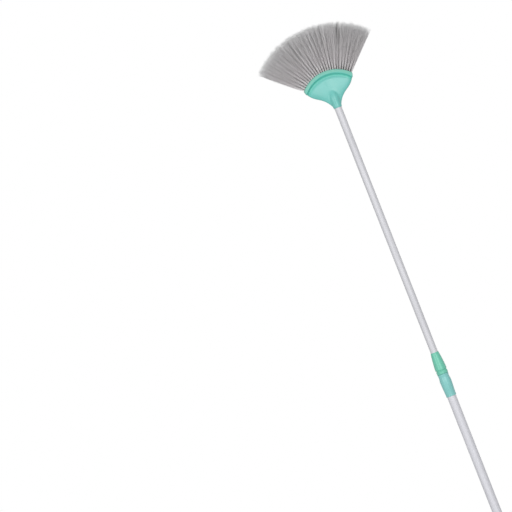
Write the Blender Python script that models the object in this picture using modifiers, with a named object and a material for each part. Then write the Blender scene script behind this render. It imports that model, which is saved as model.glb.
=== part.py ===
"""Telescopic cobweb brush with a fan head.

Metres, +Z up along the pole, the fan's width along X and its front towards -Y.
The origin is the centre of the end cap's flat bottom face.
"""

import math

import bmesh
import bpy
from mathutils import Matrix, Vector

MM = 0.001

# Gap left between two pieces that touch, and how far a cutter runs past what it cuts
SEAT_GAP = 0.3 * MM
OVERRUN = 2.0 * MM

# Two aluminium pole tubes, one sliding in the other
OUTER_DIAMETER = 22.0 * MM
OUTER_WALL = 0.8 * MM
OUTER_LENGTH = 700.0 * MM
INNER_DIAMETER = 18.0 * MM
INNER_WALL = 0.8 * MM
INNER_SHOWING = 626.0 * MM
EXTRA_PULL = 20.0 * MM

# End cap with its hanging eye
CAP_HEIGHT = 36.0 * MM
CAP_DIAMETER = 23.6 * MM
CAP_TIP_DIAMETER = 18.0 * MM
CAP_EDGE = 1.5 * MM
CAP_SPIGOT_HEIGHT = 26.0 * MM
CAP_SPIGOT_BORE = 13.0 * MM
EYE_DIAMETER = 9.0 * MM
EYE_TAB_THICKNESS = 11.0 * MM
EYE_HEIGHT = 11.0 * MM
EYE_TAB_HEIGHT = 23.0 * MM

# Guide plug in the bottom of the inner tube
PLUG_FLANGE_HEIGHT = 8.0 * MM
PLUG_SPIGOT_HEIGHT = 25.0 * MM
PLUG_BORE = 10.0 * MM
PLUG_CHAMFER = 1.0 * MM

# Fixed half of the twist lock, pressed on the outer tube
SLEEVE_HEIGHT = 56.0 * MM
SLEEVE_COVER = 50.0 * MM
SLEEVE_RIM_DIAMETER = 25.4 * MM
SLEEVE_RIM_HEIGHT = 2.4 * MM
SLEEVE_END_DIAMETER = 24.8 * MM
SLEEVE_BULGE_DIAMETER = 28.0 * MM
SLEEVE_WAIST_DIAMETER = 25.4 * MM
SLEEVE_TOP_DIAMETER = 26.8 * MM
SLEEVE_BULGE_SHARE = 0.68
SLEEVE_WAIST_SHARE = 0.86
STUB_DIAMETER = 22.8 * MM
STUB_HEIGHT = 24.0 * MM

# Turning half of the twist lock
NUT_GAP = 0.5 * MM
NUT_HEIGHT = 54.0 * MM
NUT_RING_DIAMETER = 27.6 * MM
NUT_RING_HEIGHT = 7.5 * MM
NUT_GROOVE_DIAMETER = 25.2 * MM
NUT_GROOVE_HEIGHT = 2.6 * MM
NUT_LIP_DIAMETER = 28.4 * MM
NUT_LIP_HEIGHT = 3.0 * MM
NUT_TOP_DIAMETER = 20.0 * MM
NUT_CHAMFER = 0.7 * MM
NUT_SWELL = 0.5 * MM

# Split collet that the nut squeezes on the inner tube
COLLET_HEIGHT = 15.5 * MM
COLLET_BASE_HEIGHT = 3.5 * MM
COLLET_DIAMETER = 22.0 * MM
COLLET_TOP_DIAMETER = 19.8 * MM
COLLET_SLOT = 1.6 * MM
COLLET_SLOTS = 4

# Screw tip riveted in the top of the inner tube
TIP_SPIGOT_HEIGHT = 30.0 * MM
TIP_SPIGOT_BORE = 9.0 * MM
TIP_COLLAR_HEIGHT = 2.0 * MM
TIP_COLLAR_DIAMETER = 17.0 * MM
TIP_SCREW_DIAMETER = 14.0 * MM
TIP_SCREW_HEIGHT = 26.0 * MM
TIP_CHAMFER = 2.0 * MM
RIVET_DIAMETER = 3.2 * MM
RIVET_DEPTH = 7.0 * MM

# Fan block: its arcs have one centre, a little above the mouth of the socket
TUBE_IN_SOCKET = 14.0 * MM
ARC_CENTRE_HEIGHT = 7.0 * MM
BLOCK_RADIUS = 85.0 * MM
RIM_DEPTH = 9.0 * MM
RIM_THICKNESS = 26.0 * MM
RIM_ROUND = 2.6 * MM
RIM_TOP_INSET_ANGLE = math.radians(1.4)
RIM_FOOT_OVERHANG_ANGLE = math.radians(2.6)
GROOVE_WIDTH = 6.4 * MM
GROOVE_DEPTH = 1.6 * MM
GROOVE_RUNOUT_ANGLE = math.radians(5.6)

# Crowned web between the neck and the rim, which it meets halfway into the rim's depth
WEB_THICKNESS = 15.0 * MM
WEB_NECK_THICKNESS = 6.5 * MM
WEB_NECK_WIDTH = 18.0 * MM
WEB_START_HEIGHT = 1.2 * MM
WEB_END_WIDTH = 120.0 * MM
FLANK_LOWER_WIDTH_SHARE = 0.4
FLANK_LOWER_HEIGHT_SHARE = 0.65
FLANK_UPPER_WIDTH_SHARE = 0.8
FLANK_UPPER_HEIGHT_SHARE = 0.49
WEB_TOP_HALF_ANGLE = math.radians(13.0)
NECK_ROUNDNESS = 2.4
RIM_ROUNDNESS = 4.0

# Round socket that stands proud of the web and fades into it
SOCKET_LIP_DIAMETER = 21.8 * MM
SOCKET_LIP_HEIGHT = 4.0 * MM
SOCKET_NECK_DIAMETER = 21.2 * MM
SOCKET_DIAMETER = 24.4 * MM
SOCKET_FULL_HEIGHT = 26.0 * MM
SOCKET_HEIGHT = 52.0 * MM

# Bristle tufts: two rows of holes along the rim, one hole in the back row behind each space
FAN_RADIUS = 198.0 * MM
FRONT_TUFTS = 25
END_TUFT_INSET_ANGLE = math.radians(1.9)
ROW_OFFSET = 6.4 * MM
ROW_TILT = math.radians(3.6)
HOLE_DIAMETER = 3.8 * MM
HOLE_DEPTH = 7.5 * MM
STRANDS_IN_TUFT = 8
STRAND_INSET = 0.12 * MM
STRAND_TIP_SHARE = 0.7
TIP_GAP = 0.81 * MM
TIP_SPREAD_Y = 24.0 * MM
TRIM_STEP = 0.8 * MM

# Facets round a turned piece, round a small hole and along a curve
ROUND_STEPS = 32
HOLE_STEPS = 16
CURVE_STEPS = 8
FLANK_STEPS = 13
ARC_STEPS = 28
WEB_RING_POINTS = 28

# Heights along the pole, from the floor up
OUTER_BOTTOM = CAP_HEIGHT + SEAT_GAP
OUTER_TOP = OUTER_BOTTOM + OUTER_LENGTH
SLEEVE_BOTTOM = OUTER_TOP - SLEEVE_COVER
SLEEVE_SHOULDER = OUTER_TOP + SEAT_GAP
STUB_TOP = SLEEVE_BOTTOM + SLEEVE_HEIGHT + STUB_HEIGHT
COLLET_BOTTOM = STUB_TOP + SEAT_GAP
COLLET_TOP = COLLET_BOTTOM + COLLET_HEIGHT
NUT_BOTTOM = SLEEVE_BOTTOM + SLEEVE_HEIGHT + NUT_GAP
NUT_TOP = NUT_BOTTOM + NUT_HEIGHT
MOUTH = NUT_TOP + INNER_SHOWING
INNER_TOP = MOUTH + TUBE_IN_SOCKET
PLUG_SEAT = SLEEVE_SHOULDER - EXTRA_PULL
INNER_BOTTOM = PLUG_SEAT + SEAT_GAP
ARC_CENTRE = MOUTH + ARC_CENTRE_HEIGHT

# Where the web ends in the rim, and the angles from the middle that follow from it
RIM_MIDDLE_RADIUS = BLOCK_RADIUS - RIM_DEPTH / 2
WEB_END_HALF_ANGLE = math.asin(WEB_END_WIDTH / 2 / RIM_MIDDLE_RADIUS)
WEB_END_HEIGHT = ARC_CENTRE_HEIGHT + RIM_MIDDLE_RADIUS * math.cos(WEB_END_HALF_ANGLE)
RIM_TOP_HALF_ANGLE = WEB_END_HALF_ANGLE - RIM_TOP_INSET_ANGLE
RIM_FOOT_HALF_ANGLE = WEB_END_HALF_ANGLE + RIM_FOOT_OVERHANG_ANGLE
GROOVE_HALF_ANGLE = RIM_FOOT_HALF_ANGLE + GROOVE_RUNOUT_ANGLE
TUFT_HALF_ANGLE = RIM_TOP_HALF_ANGLE - END_TUFT_INSET_ANGLE

# Angle between two tufts of a row, and the width that it leaves each tuft at its tips
TUFT_PITCH = 2 * TUFT_HALF_ANGLE / (FRONT_TUFTS - 1)
TIP_SPREAD_X = TUFT_PITCH * FAN_RADIUS - TIP_GAP

# Radii that mating pieces share
OUTER_RADIUS = OUTER_DIAMETER / 2
OUTER_BORE = OUTER_RADIUS - OUTER_WALL
INNER_RADIUS = INNER_DIAMETER / 2
INNER_BORE = INNER_RADIUS - INNER_WALL
HOLE_RADIUS = HOLE_DIAMETER / 2
TUFT_RADIUS = HOLE_RADIUS - SEAT_GAP


def clear_scene():
    for item in list(bpy.data.objects):
        bpy.data.objects.remove(item, do_unlink=True)


def new_collection(name):
    collection = bpy.data.collections.new(name)
    bpy.context.scene.collection.children.link(collection)
    return collection


def new_material(name, colour, roughness, metallic):
    material = bpy.data.materials.new(name)
    material.use_nodes = True
    shader = material.node_tree.nodes["Principled BSDF"]
    shader.inputs["Base Color"].default_value = (*colour, 1.0)
    shader.inputs["Roughness"].default_value = roughness
    shader.inputs["Metallic"].default_value = metallic
    return material


def add_object(name, mesh, material, collection):
    item = bpy.data.objects.new(name, mesh)
    if material is not None and not mesh.materials:
        mesh.materials.append(material)
    collection.objects.link(item)
    return item


def shade_round(mesh):
    mesh.shade_smooth()
    mesh.set_sharp_from_angle(angle=math.radians(35.0))


def pivot(name, height, parent, collection):
    """Empty on the pole's axis that a moving group hangs from."""
    item = bpy.data.objects.new(name, None)
    collection.objects.link(item)
    hang(item, parent, height)
    return item


def hang(item, parent, height):
    """Puts a piece's origin on the pole's axis at a height from the floor."""
    item.parent = parent
    base = base_height(parent)
    item.location = (0.0, 0.0, height - base)


def base_height(parent):
    height = 0.0
    while parent is not None:
        height += parent.location.z
        parent = parent.parent
    return height


def turned(name, profile, closed, material, collection, steps=ROUND_STEPS):
    """Turned piece: (radius, height) points that run down the outer side, spun with a Screw."""
    mesh = bpy.data.meshes.new(name)
    bm = bmesh.new()
    points = [bm.verts.new((radius, 0.0, height)) for radius, height in profile]
    for first, second in zip(points, points[1:]):
        bm.edges.new((first, second))
    if closed:
        bm.edges.new((points[-1], points[0]))
    bm.to_mesh(mesh)
    bm.free()
    item = add_object(name, mesh, material, collection)
    screw = item.modifiers.new("Turn", "SCREW")
    screw.axis = "Z"
    screw.steps = steps
    screw.render_steps = steps
    screw.use_merge_vertices = True
    screw.merge_threshold = 0.00001
    screw.use_smooth_shade = True
    return item


def tube_profile(outer, bore, bottom, top):
    return [(outer, top), (outer, bottom), (bore, bottom), (bore, top)]


def eased(start, end, steps):
    """Points from one (radius, height) to another along a soft S."""
    result = []
    for index in range(1, steps + 1):
        along = index / steps
        blend = (1.0 - math.cos(math.pi * along)) / 2
        radius = start[0] + (end[0] - start[0]) * blend
        height = start[1] + (end[1] - start[1]) * along
        result.append((radius, height))
    return result


def cut(item, cutter, operation="DIFFERENCE"):
    boolean = item.modifiers.new("Cut by " + cutter.name, "BOOLEAN")
    boolean.operation = operation
    boolean.solver = "EXACT"
    boolean.object = cutter


def hide_cutter(item):
    item.hide_render = True
    item.display_type = "WIRE"


def round_cutter(name, radius, length, matrix, cutters, steps=HOLE_STEPS):
    """Cylinder about its own Z, centred, moved by a matrix."""
    mesh = bpy.data.meshes.new(name)
    bm = bmesh.new()
    bmesh.ops.create_cone(
        bm, cap_ends=True, segments=steps, radius1=radius, radius2=radius, depth=length, matrix=matrix
    )
    bm.to_mesh(mesh)
    bm.free()
    item = add_object(name, mesh, None, cutters)
    hide_cutter(item)
    return item


def box_cutter(name, size, centre, cutters):
    mesh = bpy.data.meshes.new(name)
    bm = bmesh.new()
    placing = Matrix.Translation(centre) @ Matrix.Diagonal((*size, 1.0))
    bmesh.ops.create_cube(bm, size=1.0, matrix=placing)
    bm.to_mesh(mesh)
    bm.free()
    item = add_object(name, mesh, None, cutters)
    hide_cutter(item)
    return item


def across_y(height):
    """A cylinder's matrix that lays its axis along Y at a height."""
    return Matrix.Translation((0.0, 0.0, height)) @ Matrix.Rotation(math.pi / 2, 4, "X")


def make_outer_tube(aluminium, parts):
    profile = tube_profile(OUTER_RADIUS, OUTER_BORE, OUTER_BOTTOM, OUTER_TOP)
    return turned("outer_tube", profile, True, aluminium, parts)


def make_end_cap(plastic, parts, cutters):
    """Plug for the tube's foot: hollow spigot, flange, and a flattened tab with the hanging eye."""
    spigot = OUTER_BORE - SEAT_GAP
    spigot_top = CAP_HEIGHT + CAP_SPIGOT_HEIGHT
    tip = CAP_TIP_DIAMETER / 2
    rim = CAP_DIAMETER / 2
    bore = CAP_SPIGOT_BORE / 2
    profile = [
        (bore, spigot_top),
        (spigot - CAP_EDGE, spigot_top),
        (spigot, spigot_top - CAP_EDGE),
        (spigot, CAP_HEIGHT),
        (rim - CAP_EDGE / 2, CAP_HEIGHT),
        (rim, CAP_HEIGHT - CAP_EDGE / 2),
        (rim, CAP_HEIGHT - 2 * CAP_EDGE),
    ]
    profile += eased((rim, CAP_HEIGHT - 2 * CAP_EDGE), (tip, EYE_HEIGHT), CURVE_STEPS // 2)
    profile += [(tip, CAP_EDGE), (tip - CAP_EDGE, 0.0), (tip - CAP_EDGE, -OVERRUN), (0.0, -OVERRUN)]
    profile += [(0.0, EYE_TAB_HEIGHT + CAP_EDGE), (bore, EYE_TAB_HEIGHT + CAP_EDGE)]
    cap = turned("end_cap", profile, True, plastic, parts)
    flat = EYE_TAB_THICKNESS / 2
    width = CAP_DIAMETER + OVERRUN
    depth = rim - flat + OVERRUN
    height = EYE_TAB_HEIGHT + 2 * OVERRUN
    for side in (-1, 1):
        centre = (0.0, side * (flat + depth / 2), EYE_TAB_HEIGHT - height / 2)
        name = "end_cap_flat_front" if side < 0 else "end_cap_flat_back"
        cut(cap, box_cutter(name, (width, depth, height), centre, cutters))
    foot = box_cutter("end_cap_foot", (width, width, width), (0.0, 0.0, -width / 2), cutters)
    cut(cap, foot)
    eye_length = EYE_TAB_THICKNESS + 2 * OVERRUN
    eye = round_cutter("end_cap_eye", EYE_DIAMETER / 2, eye_length, across_y(EYE_HEIGHT), cutters)
    cut(cap, eye)
    return cap


def make_lock_sleeve(plastic, parts):
    """Bulged grip over the tube's end; its stub above carries the nut and the collet."""
    bore = OUTER_RADIUS + SEAT_GAP
    guide = INNER_RADIUS + SEAT_GAP
    top = SLEEVE_BOTTOM + SLEEVE_HEIGHT
    stub = STUB_DIAMETER / 2
    waist = (SLEEVE_WAIST_DIAMETER / 2, SLEEVE_BOTTOM + SLEEVE_WAIST_SHARE * SLEEVE_HEIGHT)
    bulge = (SLEEVE_BULGE_DIAMETER / 2, SLEEVE_BOTTOM + SLEEVE_BULGE_SHARE * SLEEVE_HEIGHT)
    rim_top = SLEEVE_BOTTOM + SLEEVE_RIM_HEIGHT
    end = (SLEEVE_END_DIAMETER / 2, rim_top)
    lip = (SLEEVE_RIM_DIAMETER - SLEEVE_END_DIAMETER) / 2
    profile = [(guide, STUB_TOP), (stub - lip, STUB_TOP), (stub, STUB_TOP - lip), (stub, top)]
    profile += [(SLEEVE_TOP_DIAMETER / 2 - lip, top), (SLEEVE_TOP_DIAMETER / 2, top - lip)]
    profile += eased(profile[-1], waist, CURVE_STEPS // 2)
    profile += eased(waist, bulge, CURVE_STEPS // 2)
    profile += eased(bulge, end, CURVE_STEPS)
    profile += [(end[0] + lip, rim_top - lip), (end[0] + lip, SLEEVE_BOTTOM + lip)]
    profile += [(end[0], SLEEVE_BOTTOM), (bore, SLEEVE_BOTTOM)]
    profile += [(bore, SLEEVE_SHOULDER), (guide, SLEEVE_SHOULDER)]
    return turned("lock_sleeve", profile, True, plastic, parts)


def nut_bore_profile():
    """The nut's inner side, bottom to top: over the stub, round the collet, then the tube."""
    over_stub = STUB_DIAMETER / 2 + SEAT_GAP
    taper_start = COLLET_BOTTOM + COLLET_BASE_HEIGHT
    over_base = COLLET_DIAMETER / 2 + SEAT_GAP
    over_top = COLLET_TOP_DIAMETER / 2 + SEAT_GAP
    return [
        (over_stub, NUT_BOTTOM),
        (over_stub, STUB_TOP),
        (over_base, taper_start),
        (over_top, COLLET_TOP),
        (over_top, COLLET_TOP + SEAT_GAP),
        (INNER_RADIUS + SEAT_GAP, COLLET_TOP + SEAT_GAP),
        (INNER_RADIUS + SEAT_GAP, NUT_TOP),
    ]


def make_lock_nut(plastic, parts):
    """Cone that widens down to a lip, a groove, and a plain ring at the bottom."""
    ring = NUT_RING_DIAMETER / 2
    groove = NUT_GROOVE_DIAMETER / 2
    lip = NUT_LIP_DIAMETER / 2
    top = NUT_TOP_DIAMETER / 2
    ring_top = NUT_BOTTOM + NUT_RING_HEIGHT
    groove_top = ring_top + NUT_GROOVE_HEIGHT
    lip_top = groove_top + NUT_LIP_HEIGHT
    cone_top = NUT_TOP - NUT_CHAMFER
    outside = [(top - NUT_CHAMFER / 2, NUT_TOP), (top, cone_top)]
    for index in range(1, CURVE_STEPS // 2 + 1):
        along = index / (CURVE_STEPS // 2)
        swell = NUT_SWELL * math.sin(math.pi * along)
        outside.append((top + (lip - top) * along + swell, cone_top + (lip_top - cone_top) * along))
    outside += [
        (lip, groove_top + NUT_CHAMFER),
        (lip - NUT_CHAMFER, groove_top),
        (groove, groove_top - NUT_CHAMFER),
        (groove, ring_top + NUT_CHAMFER),
        (ring - NUT_CHAMFER, ring_top),
        (ring, ring_top - NUT_CHAMFER),
        (ring, NUT_BOTTOM + NUT_CHAMFER),
        (ring - NUT_CHAMFER, NUT_BOTTOM),
    ]
    return turned("lock_nut", outside + nut_bore_profile(), True, plastic, parts)


def make_split_collet(plastic, parts, cutters):
    """Ring with tapered fingers between slots that start above its base."""
    bore = INNER_RADIUS + SEAT_GAP
    base = COLLET_DIAMETER / 2
    profile = [
        (COLLET_TOP_DIAMETER / 2, COLLET_TOP),
        (base, COLLET_BOTTOM + COLLET_BASE_HEIGHT),
        (base, COLLET_BOTTOM),
        (bore, COLLET_BOTTOM),
        (bore, COLLET_TOP),
    ]
    collet = turned("split_collet", profile, True, plastic, parts)
    slot_bottom = COLLET_BOTTOM + COLLET_BASE_HEIGHT
    slot_height = COLLET_TOP - slot_bottom + OVERRUN
    slot_length = COLLET_DIAMETER / 2 + OVERRUN
    for number in range(COLLET_SLOTS):
        centre = (slot_length / 2, 0.0, slot_bottom + slot_height / 2)
        name = f"collet_slot_{number + 1}"
        slot = box_cutter(name, (slot_length, COLLET_SLOT, slot_height), centre, cutters)
        slot.rotation_euler.z = 2 * math.pi * (number + 0.5) / COLLET_SLOTS
        cut(collet, slot)
    return collet


def make_inner_tube(aluminium, parts, cutters, carrier):
    length = INNER_TOP - INNER_BOTTOM
    profile = tube_profile(INNER_RADIUS, INNER_BORE, 0.0, length)
    tube = turned("inner_tube", profile, True, aluminium, parts)
    hang(tube, carrier, INNER_BOTTOM)
    hole = RIVET_DIAMETER / 2 + SEAT_GAP
    placing = across_y(MOUTH + RIVET_DEPTH)
    cut(tube, round_cutter("rivet_hole", hole, INNER_DIAMETER + 2 * OVERRUN, placing, cutters))
    return tube


def make_guide_plug(plastic, parts, carrier):
    """Flanged plug that keeps the inner tube centred in the outer one and stops its travel."""
    flange = OUTER_BORE - SEAT_GAP
    spigot = INNER_BORE - SEAT_GAP
    bore = PLUG_BORE / 2
    spigot_top = PLUG_FLANGE_HEIGHT + PLUG_SPIGOT_HEIGHT
    profile = [
        (bore, spigot_top),
        (spigot - PLUG_CHAMFER, spigot_top),
        (spigot, spigot_top - PLUG_CHAMFER),
        (spigot, PLUG_FLANGE_HEIGHT),
        (flange - PLUG_CHAMFER, PLUG_FLANGE_HEIGHT),
        (flange, PLUG_FLANGE_HEIGHT - PLUG_CHAMFER),
        (flange, PLUG_CHAMFER),
        (flange - PLUG_CHAMFER, 0.0),
        (bore, 0.0),
    ]
    plug = turned("guide_plug", profile, True, plastic, parts)
    hang(plug, carrier, PLUG_SEAT - PLUG_FLANGE_HEIGHT)
    return plug


def make_pole_tip(plastic, parts, cutters, carrier):
    """Screw tip: hollow spigot in the tube, a collar on its end and the blunt screw above."""
    spigot = INNER_BORE - SEAT_GAP
    collar = TIP_COLLAR_DIAMETER / 2
    screw = TIP_SCREW_DIAMETER / 2
    bore = TIP_SPIGOT_BORE / 2
    collar_bottom = TIP_SPIGOT_HEIGHT + SEAT_GAP
    collar_top = collar_bottom + TIP_COLLAR_HEIGHT
    screw_top = collar_top + TIP_SCREW_HEIGHT
    profile = [
        (0.0, screw_top),
        (screw - TIP_CHAMFER, screw_top),
        (screw, screw_top - TIP_CHAMFER),
        (screw, collar_top),
        (collar, collar_top),
        (collar, collar_bottom),
        (spigot, collar_bottom),
        (spigot, 0.0),
        (bore, 0.0),
        (bore, collar_bottom),
        (0.0, collar_top),
    ]
    tip = turned("pole_tip", profile, True, plastic, parts)
    hang(tip, carrier, INNER_TOP - TIP_SPIGOT_HEIGHT)
    cut(tip, cutters.objects["rivet_hole"])
    return tip


def make_tip_rivet(steel, parts, carrier):
    """Plain pin through the tube and the tip, flush with the tube's outside."""
    mesh = bpy.data.meshes.new("tip_rivet")
    bm = bmesh.new()
    length = INNER_DIAMETER - 2 * SEAT_GAP
    radius = RIVET_DIAMETER / 2
    turn = Matrix.Rotation(math.pi / 2, 4, "X")
    bmesh.ops.create_cone(
        bm, cap_ends=True, segments=HOLE_STEPS, radius1=radius, radius2=radius, depth=length, matrix=turn
    )
    bm.to_mesh(mesh)
    bm.free()
    shade_round(mesh)
    rivet = add_object("tip_rivet", mesh, steel, parts)
    hang(rivet, carrier, MOUTH + RIVET_DEPTH)
    return rivet


def flank_points():
    """Half-outline of the web from its neck to the rim's end: a cubic curve, (half-width, height)."""
    start = Vector((WEB_NECK_WIDTH / 2, WEB_START_HEIGHT))
    end = Vector((WEB_END_WIDTH / 2, WEB_END_HEIGHT))
    lower = Vector((FLANK_LOWER_WIDTH_SHARE * end.x, FLANK_LOWER_HEIGHT_SHARE * end.y))
    upper = Vector((FLANK_UPPER_WIDTH_SHARE * end.x, FLANK_UPPER_HEIGHT_SHARE * end.y))
    points = []
    for index in range(FLANK_STEPS + 1):
        along = index / FLANK_STEPS
        back = 1.0 - along
        point = start * back**3 + lower * (3 * back * back * along)
        point += upper * (3 * back * along * along) + end * along**3
        points.append((point.x, point.y))
    return points


def crown_points():
    """The web's outline above the flanks: an arc inside the rim, (half-width, height)."""
    radius = RIM_MIDDLE_RADIUS
    points = []
    for index in range(1, CURVE_STEPS + 1):
        angle = WEB_END_HALF_ANGLE + (WEB_TOP_HALF_ANGLE - WEB_END_HALF_ANGLE) * index / CURVE_STEPS
        points.append((radius * math.sin(angle), ARC_CENTRE_HEIGHT + radius * math.cos(angle)))
    return points


def web_ring(half_width, height):
    """Rounded-box section of the web, fuller and squarer towards the rim."""
    along = min(height / WEB_END_HEIGHT, 1.0)
    blend = (1.0 - math.cos(math.pi * along)) / 2
    half_depth = (WEB_NECK_THICKNESS + (WEB_THICKNESS - WEB_NECK_THICKNESS) * blend) / 2
    power = 2 / (NECK_ROUNDNESS + (RIM_ROUNDNESS - NECK_ROUNDNESS) * blend)
    ring = []
    for index in range(WEB_RING_POINTS):
        angle = 2 * math.pi * (index + 0.5) / WEB_RING_POINTS
        across = math.copysign(abs(math.cos(angle)) ** power, math.cos(angle))
        deep = math.copysign(abs(math.sin(angle)) ** power, math.sin(angle))
        ring.append(Vector((half_width * across, half_depth * deep, height)))
    return ring


def lofted(name, rings, material, collection):
    """Closed skin through rings of points, each counter-clockwise from above, lowest first."""
    mesh = bpy.data.meshes.new(name)
    bm = bmesh.new()
    loops = [[bm.verts.new(point) for point in ring] for ring in rings]
    for lower, upper in zip(loops, loops[1:]):
        for index, corner in enumerate(lower):
            following = (index + 1) % len(lower)
            bm.faces.new((corner, lower[following], upper[following], upper[index]))
    bm.faces.new(list(reversed(loops[0])))
    bm.faces.new(loops[-1])
    bm.to_mesh(mesh)
    bm.free()
    shade_round(mesh)
    return add_object(name, mesh, material, collection)


def sector_points(outer, inner, outer_half_angle, inner_half_angle):
    """Outline of a band between two arcs, in the fan's plane with its centre at the origin."""
    points = []
    for index in range(ARC_STEPS + 1):
        angle = outer_half_angle * (2 * index / ARC_STEPS - 1.0)
        points.append((outer * math.sin(angle), outer * math.cos(angle)))
    for index in range(ARC_STEPS + 1):
        angle = inner_half_angle * (1.0 - 2 * index / ARC_STEPS)
        points.append((inner * math.sin(angle), inner * math.cos(angle)))
    return points


def standing_plate(name, points, thickness, collection):
    """Flat outline as a filled curve, stood up in the XZ plane and turned into a mesh."""
    curve = bpy.data.curves.new(name, "CURVE")
    curve.dimensions = "2D"
    curve.fill_mode = "BOTH"
    curve.extrude = thickness / 2
    spline = curve.splines.new("POLY")
    spline.points.add(len(points) - 1)
    for index, (across, up) in enumerate(points):
        spline.points[index].co = (across, up, 0.0, 1.0)
    spline.use_cyclic_u = True
    drawn = bpy.data.objects.new(name, curve)
    collection.objects.link(drawn)
    drawn.rotation_euler.x = math.pi / 2
    bpy.context.view_layer.update()
    graph = bpy.context.evaluated_depsgraph_get()
    mesh = bpy.data.meshes.new_from_object(drawn.evaluated_get(graph))
    placing = drawn.matrix_world.copy()
    bpy.data.objects.remove(drawn, do_unlink=True)
    bm = bmesh.new()
    bm.from_mesh(mesh)
    bmesh.ops.remove_doubles(bm, verts=bm.verts, dist=0.00001)
    bmesh.ops.dissolve_limit(
        bm, angle_limit=math.radians(1.0), use_dissolve_boundaries=False, verts=bm.verts, edges=bm.edges
    )
    bmesh.ops.recalc_face_normals(bm, faces=bm.faces)
    bm.to_mesh(mesh)
    bm.free()
    item = add_object(name, mesh, None, collection)
    item.matrix_world = placing
    return item


def socket_profile():
    """Outside of the round socket above the mouth: lip, neck, full body, then a long fading nose."""
    lip = SOCKET_LIP_DIAMETER / 2
    neck = SOCKET_NECK_DIAMETER / 2
    full = SOCKET_DIAMETER / 2
    soft = (lip - neck) / 2
    nose = []
    for index in range(CURVE_STEPS + 1):
        angle = math.pi / 2 * index / CURVE_STEPS
        height = SOCKET_HEIGHT - (SOCKET_HEIGHT - SOCKET_FULL_HEIGHT) * (1.0 - math.cos(angle))
        nose.append((full * math.sin(angle), height))
    profile = nose + eased((full, SOCKET_FULL_HEIGHT), (neck, SOCKET_LIP_HEIGHT + soft), CURVE_STEPS // 2)
    profile += [(lip, SOCKET_LIP_HEIGHT), (lip, soft), (lip - soft, 0.0), (0.0, 0.0)]
    return profile


def tuft_places():
    """Name, angle from the middle, and side of each tuft: -1 in front, 1 behind."""
    places = []
    for number in range(FRONT_TUFTS):
        angle = -TUFT_HALF_ANGLE + number * TUFT_PITCH
        places.append((f"tuft_front_{number + 1:02d}", angle, -1))
    for number in range(FRONT_TUFTS - 1):
        angle = -TUFT_HALF_ANGLE + (number + 0.5) * TUFT_PITCH
        places.append((f"tuft_back_{number + 1:02d}", angle, 1))
    return places


def tuft_matrix(angle, side):
    """From a tuft's own axes, at its hole's mouth, to the arcs' centre."""
    out = Matrix.Rotation(angle, 4, "Y") @ Matrix.Translation((0.0, side * ROW_OFFSET, BLOCK_RADIUS))
    return out @ Matrix.Rotation(-side * ROW_TILT, 4, "X")


def tuft_hole_cutters(cutters):
    """All the blind tuft holes as one cutter, its cylinders clear of each other."""
    mesh = bpy.data.meshes.new("tuft_holes")
    bm = bmesh.new()
    length = HOLE_DEPTH + OVERRUN
    middle = Matrix.Translation((0.0, 0.0, OVERRUN - length / 2))
    for _, angle, side in tuft_places():
        bmesh.ops.create_cone(
            bm,
            cap_ends=True,
            segments=STRANDS_IN_TUFT,
            radius1=HOLE_RADIUS,
            radius2=HOLE_RADIUS,
            depth=length,
            matrix=tuft_matrix(angle, side) @ middle,
        )
    bm.to_mesh(mesh)
    bm.free()
    item = add_object("tuft_holes", mesh, None, cutters)
    item.location.z = ARC_CENTRE
    hide_cutter(item)
    return item


def make_fan_block(plastic, parts, cutters, carrier):
    """Moulded head: a crowned web, the thick rim that holds the tufts and the round socket."""
    rings = [web_ring(*point) for point in flank_points() + crown_points()]
    block = lofted("fan_block", rings, plastic, parts)
    hang(block, carrier, MOUTH)

    inner = BLOCK_RADIUS - RIM_DEPTH
    groove = sector_points(inner + RIM_ROUND, inner - GROOVE_WIDTH, GROOVE_HALF_ANGLE, GROOVE_HALF_ANGLE)
    depth = (RIM_THICKNESS - WEB_THICKNESS) / 2 + GROOVE_DEPTH
    for side in (-1, 1):
        name = "fan_groove_front" if side < 0 else "fan_groove_back"
        channel = standing_plate(name, groove, depth, cutters)
        channel.location = (0.0, side * (WEB_THICKNESS / 2 - GROOVE_DEPTH + depth / 2), ARC_CENTRE)
        hide_cutter(channel)
        cut(block, channel)

    outline = sector_points(BLOCK_RADIUS, inner, RIM_TOP_HALF_ANGLE, RIM_FOOT_HALF_ANGLE)
    rim = standing_plate("fan_rim", outline, RIM_THICKNESS, cutters)
    rim.location.z = ARC_CENTRE
    rounding = rim.modifiers.new("Round", "BEVEL")
    rounding.width = RIM_ROUND
    rounding.segments = 3
    rounding.limit_method = "ANGLE"
    rounding.angle_limit = math.radians(40.0)
    hide_cutter(rim)
    cut(block, rim, "UNION")

    socket = turned("fan_socket", socket_profile(), False, None, cutters)
    socket.location.z = MOUTH
    hide_cutter(socket)
    cut(block, socket, "UNION")

    half_step = Matrix.Rotation(math.pi / ROUND_STEPS, 4, "Z")
    wide_depth = TUBE_IN_SOCKET + TIP_COLLAR_HEIGHT + 2 * SEAT_GAP
    wide_length = wide_depth + OVERRUN
    placing = Matrix.Translation((0.0, 0.0, MOUTH + wide_depth - wide_length / 2)) @ half_step
    wide = INNER_RADIUS + SEAT_GAP
    cut(block, round_cutter("socket_tube_bore", wide, wide_length, placing, cutters, ROUND_STEPS))
    narrow_top = wide_depth + TIP_SCREW_HEIGHT + SEAT_GAP
    narrow_length = narrow_top - TUBE_IN_SOCKET
    placing = Matrix.Translation((0.0, 0.0, MOUTH + narrow_top - narrow_length / 2)) @ half_step
    narrow = TIP_SCREW_DIAMETER / 2 + SEAT_GAP
    cut(block, round_cutter("socket_screw_bore", narrow, narrow_length, placing, cutters, ROUND_STEPS))
    cut(block, tuft_hole_cutters(cutters))
    return block


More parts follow.
